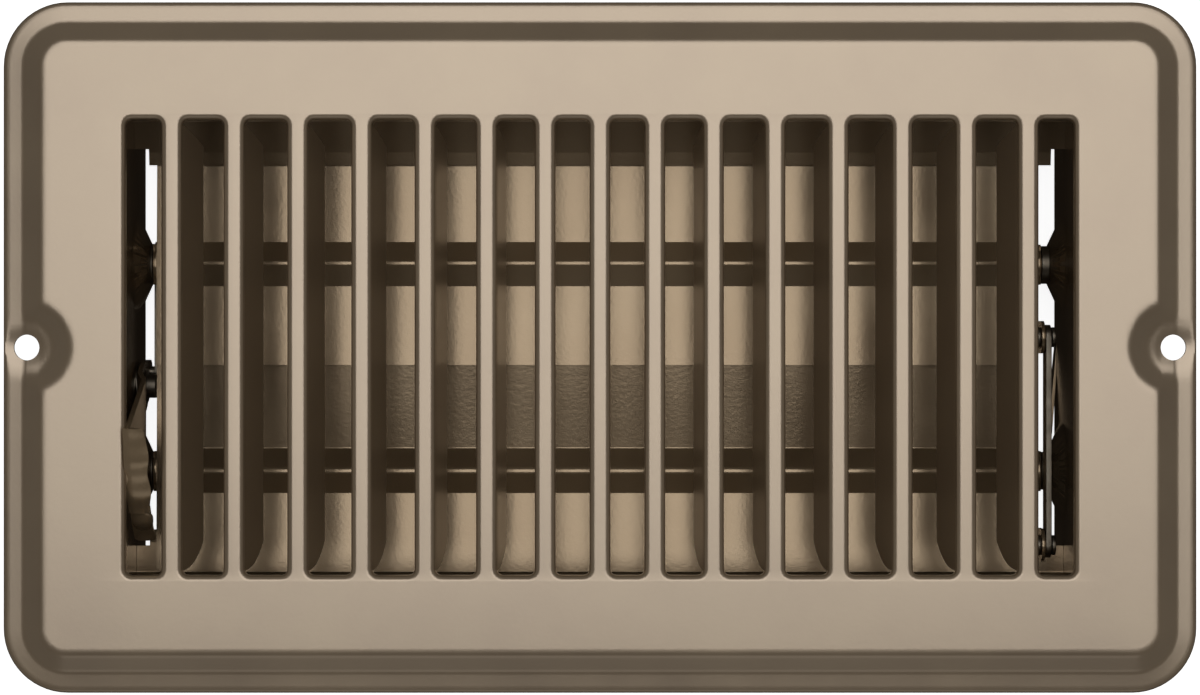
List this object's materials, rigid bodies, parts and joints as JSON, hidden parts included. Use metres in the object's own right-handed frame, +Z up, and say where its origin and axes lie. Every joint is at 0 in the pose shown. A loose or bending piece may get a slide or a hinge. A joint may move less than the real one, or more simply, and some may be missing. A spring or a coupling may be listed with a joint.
{
  "type": "floor register",
  "caption": "Stamped steel floor register for a 4 x 8 inch duct: louvred faceplate over a damper box with two linked blades and a thumb lever.",
  "frame": {"origin": "middle of the faceplate, midway between its two screw holes, on the plane of the floor that the rim rests on", "axes": "+X along the faceplate's length, away from the lever end; +Y across it; +Z up, out of the floor"},
  "size_m": [0.2414, 0.1396, 0.0481],
  "materials": {
    "brown_enamel": "semi-gloss",
    "zinc_steel": "zinc plated, dull",
    "spring_steel": "blued"
  },
  "bodies": {
    "frame": {"faceplate": "brown_enamel", "side_wall_upper": "brown_enamel", "side_wall_lower": "brown_enamel", "end_wall_left": "brown_enamel", "end_wall_right": "brown_enamel", "corner_rivets": "brown_enamel", "upper_pin_left": "zinc_steel", "upper_pin_right": "zinc_steel", "lower_pin_left": "zinc_steel", "lower_pin_right": "zinc_steel", "lever_stud": "zinc_steel", "wave_washer": "spring_steel", "stud_retainer": "spring_steel"},
    "lever": {"lever": "brown_enamel", "drive_pin_lever": "zinc_steel"},
    "upper_blade": {"blade_upper": "brown_enamel", "link_rivet_upper": "zinc_steel", "drive_pin_blade": "zinc_steel"},
    "lower_blade": {"blade_lower": "brown_enamel", "link_rivet_lower": "zinc_steel"},
    "link": {"link_bar": "zinc_steel"},
    "drive": {"drive_link": "zinc_steel"}
  },
  "joints": [
    {"name": "upper_blade_turn", "type": "hinge", "parent": "frame", "child": "upper_blade", "pos_m": [0, 0.01745, -0.03], "axis": [-1, 0, 0], "range_deg": [0, 70]},
    {"name": "lever_turn", "type": "hinge", "parent": "frame", "child": "lever", "pos_m": [-0.0965, -0.00815, -0.03], "axis": [-1, 0, 0], "range_deg": [0, 70]},
    {"name": "lower_blade_turn", "type": "hinge", "parent": "frame", "child": "lower_blade", "pos_m": [0, -0.02605, -0.03], "axis": [-1, 0, 0], "range_deg": [0, 70]},
    {"name": "link_turn", "type": "hinge", "parent": "upper_blade", "child": "link", "pos_m": [0.0936, 0.00215, -0.0226], "axis": [-1, 0, 0], "range_deg": [-70, 0]},
    {"name": "drive_turn", "type": "hinge", "parent": "upper_blade", "child": "drive", "pos_m": [-0.0947, 0.02039, -0.03808], "axis": [-1, 0, 0], "range_deg": [-70, 0]}
  ],
  "couplings": [
    {"joint": "lever_turn", "follows": "upper_blade_turn", "ratio": 1},
    {"joint": "lower_blade_turn", "follows": "upper_blade_turn", "ratio": 1},
    {"joint": "link_turn", "follows": "upper_blade_turn", "ratio": -1},
    {"joint": "drive_turn", "follows": "upper_blade_turn", "ratio": -1}
  ]
}
